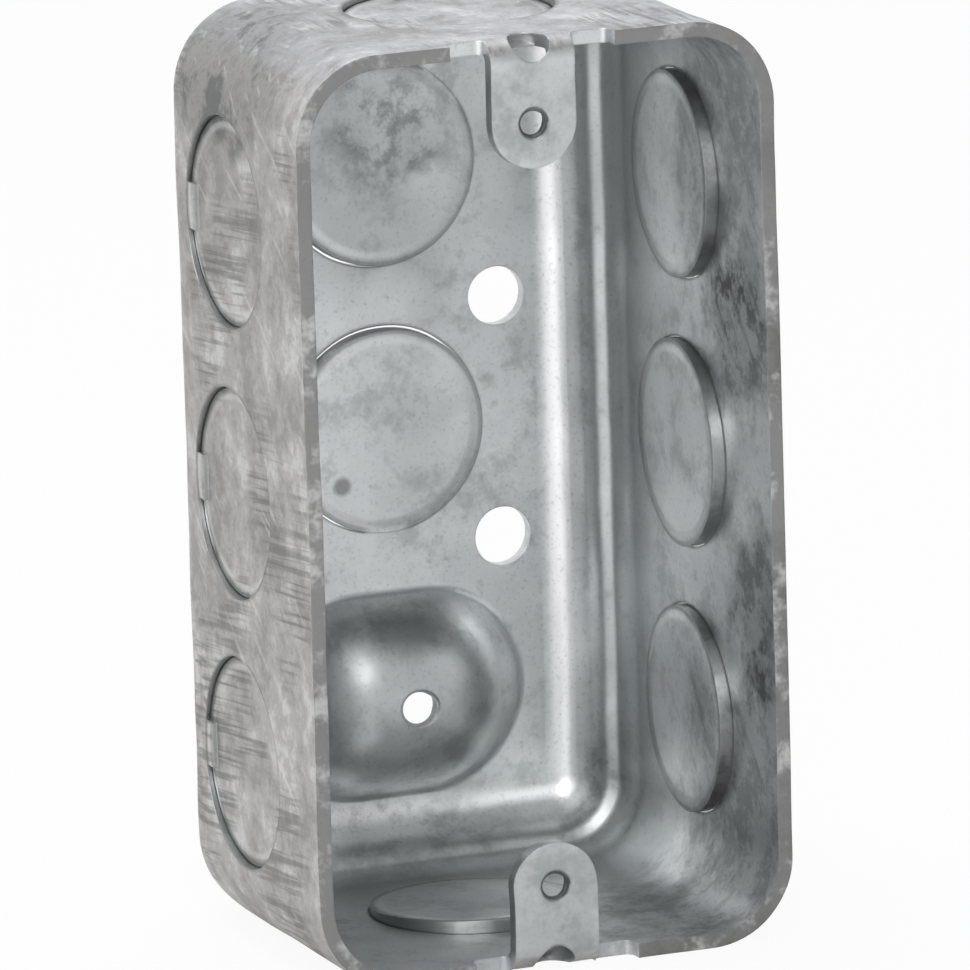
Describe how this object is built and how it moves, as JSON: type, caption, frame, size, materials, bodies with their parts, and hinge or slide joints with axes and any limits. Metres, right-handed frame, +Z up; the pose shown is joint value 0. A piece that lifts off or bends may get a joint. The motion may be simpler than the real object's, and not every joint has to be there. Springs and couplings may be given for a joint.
{
  "type": "electrical device box",
  "caption": "Drawn steel device box with an open front, rounded corners, lanced knockouts, a raised grounding boss and bent-in tapped device tabs.",
  "frame": {"origin": "midway between the two device holes, in the plane of the rim", "axes": "+X right, +Z up along the box's length, the opening faces -Y and the back's outer face lies at y = 47.6 mm"},
  "size_m": [0.0556, 0.0476, 0.1016],
  "materials": {
    "zinc_steel": "satin"
  },
  "bodies": {
    "root": {"box": "zinc_steel"}
  },
  "joints": []
}
